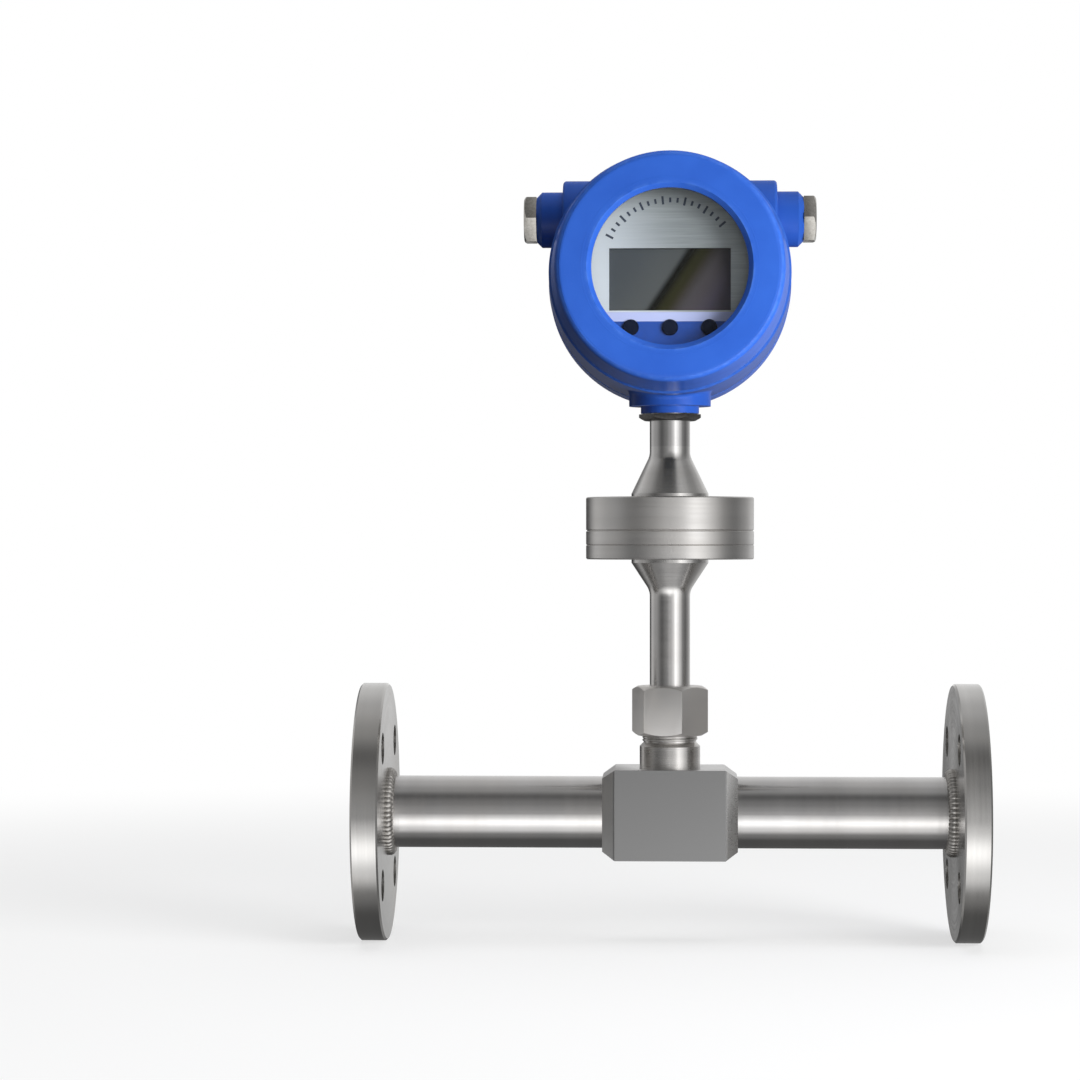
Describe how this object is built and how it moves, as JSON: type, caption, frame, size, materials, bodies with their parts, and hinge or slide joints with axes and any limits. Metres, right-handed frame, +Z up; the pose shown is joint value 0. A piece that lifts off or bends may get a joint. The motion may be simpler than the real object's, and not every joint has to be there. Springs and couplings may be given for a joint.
{
  "type": "thermal mass flow meter",
  "caption": "Inline gas flow meter: a flanged pipe run with a sensing probe in a compression fitting, under a round blue head with a display window, screwed covers and cable entries.",
  "frame": {"origin": "centre of the inlet flange's sealing face", "axes": "+X along the gas flow from inlet to outlet, +Z up the stem, the display looks along -Y"},
  "size_m": [0.28, 0.122, 0.3526],
  "materials": {
    "stainless_steel": "brushed and turned stainless steel",
    "weld_metal": "rippled weld, bare",
    "sensor_metal": "polished alloy",
    "blue_paint": "semi-gloss blue enamel on cast aluminium",
    "nickel_brass": "nickel-plated brass",
    "screw_steel": "plain stainless fasteners",
    "seal_rubber": "matte black rubber",
    "gasket_fibre": "dark sheet gasket",
    "window_glass": "clear toughened glass",
    "dark_aluminium": "black anodised",
    "faceplate_sheet": "satin silver-grey with a blue lower field",
    "display_glass": "dark grey liquid-crystal display",
    "key_plastic": "dark blue-black plastic",
    "switch_plastic": "black plastic",
    "circuit_board": "green solder mask",
    "brass_standoff": "turned brass",
    "spacer_plastic": "white nylon",
    "socket_plastic": "off-white nylon",
    "terminal_plastic": "green moulded terminals",
    "lead_sleeve": "pale fluoropolymer sleeve"
  },
  "bodies": {
    "flow_tube_body": {"inlet_flange": "stainless_steel", "inlet_pipe": "stainless_steel", "outlet_flange": "stainless_steel", "outlet_pipe": "stainless_steel", "flange_welds": "weld_metal", "sensor_block": "stainless_steel", "probe_stub": "stainless_steel", "front_ferrule": "stainless_steel", "back_ferrule": "stainless_steel", "compression_nut": "stainless_steel", "probe_tube": "stainless_steel", "sensor_tip": "stainless_steel", "heated_sensor_pin": "sensor_metal", "reference_sensor_pin": "sensor_metal", "sensor_leads": "lead_sleeve", "lower_neck_flange": "stainless_steel", "upper_neck_flange": "stainless_steel", "neck_seal": "seal_rubber", "neck_flange_screws": "screw_steel", "neck_tube": "stainless_steel", "neck_lock_nut": "nickel_brass"},
    "head_body": {"housing": "blue_paint", "neck_set_screw": "screw_steel", "main_board": "circuit_board", "display_board": "circuit_board", "sensor_socket": "socket_plastic", "display_standoffs": "brass_standoff", "display_spacers": "spacer_plastic", "display_screws": "screw_steel", "faceplate": "faceplate_sheet", "lcd_module": "display_glass", "key_switches": "switch_plastic", "terminal_board": "circuit_board", "terminal_board_screws": "screw_steel", "terminal_block": "terminal_plastic", "terminal_screws": "screw_steel", "left_gland_nut": "nickel_brass", "left_gland_washer": "nickel_brass", "left_gland_seal": "seal_rubber", "right_gland_nut": "nickel_brass", "right_gland_washer": "nickel_brass", "right_gland_seal": "seal_rubber"},
    "front_cover_slide_body": {"front_cover_seal": "seal_rubber"},
    "front_cover_body": {"front_cover": "blue_paint", "window_gasket": "gasket_fibre", "window_glass": "window_glass", "glass_retaining_ring": "dark_aluminium"},
    "rear_cover_slide_body": {"rear_cover_seal": "seal_rubber"},
    "rear_cover_body": {"rear_cover": "blue_paint"},
    "left_key_body": {"left_key": "key_plastic"},
    "middle_key_body": {"middle_key": "key_plastic"},
    "right_key_body": {"right_key": "key_plastic"}
  },
  "joints": [
    {"name": "head_swivel", "type": "hinge", "parent": "flow_tube_body", "child": "head_body", "pos_m": [0.14, 0, 0.1782], "axis": [0, 0, 1], "range_deg": [-165, 165]},
    {"name": "front_cover_travel", "type": "slide", "parent": "head_body", "child": "front_cover_slide_body", "axis": [0, -1, 0], "range_m": [0, 0.01]},
    {"name": "front_cover_turn", "type": "hinge", "parent": "front_cover_slide_body", "child": "front_cover_body", "pos_m": [0.14, -0.04, 0.2392], "axis": [0, -1, 0], "range_deg": [0, 1800]},
    {"name": "rear_cover_travel", "type": "slide", "parent": "head_body", "child": "rear_cover_slide_body", "axis": [0, 1, 0], "range_m": [0, 0.01]},
    {"name": "rear_cover_turn", "type": "hinge", "parent": "rear_cover_slide_body", "child": "rear_cover_body", "pos_m": [0.14, 0.04, 0.2392], "axis": [0, 1, 0], "range_deg": [0, 1800]},
    {"name": "left_key_press", "type": "slide", "parent": "head_body", "child": "left_key_body", "axis": [0, 1, 0], "range_m": [0, 0.0006], "stiffness_N_per_m": 600, "springref_m": -0.0004},
    {"name": "middle_key_press", "type": "slide", "parent": "head_body", "child": "middle_key_body", "axis": [0, 1, 0], "range_m": [0, 0.0006], "stiffness_N_per_m": 600, "springref_m": -0.0004},
    {"name": "right_key_press", "type": "slide", "parent": "head_body", "child": "right_key_body", "axis": [0, 1, 0], "range_m": [0, 0.0006], "stiffness_N_per_m": 600, "springref_m": -0.0004}
  ],
  "couplings": [
    {"joint": "front_cover_travel", "follows": "front_cover_turn", "m_per_rad": 0.0003183},
    {"joint": "rear_cover_travel", "follows": "rear_cover_turn", "m_per_rad": 0.0003183}
  ]
}
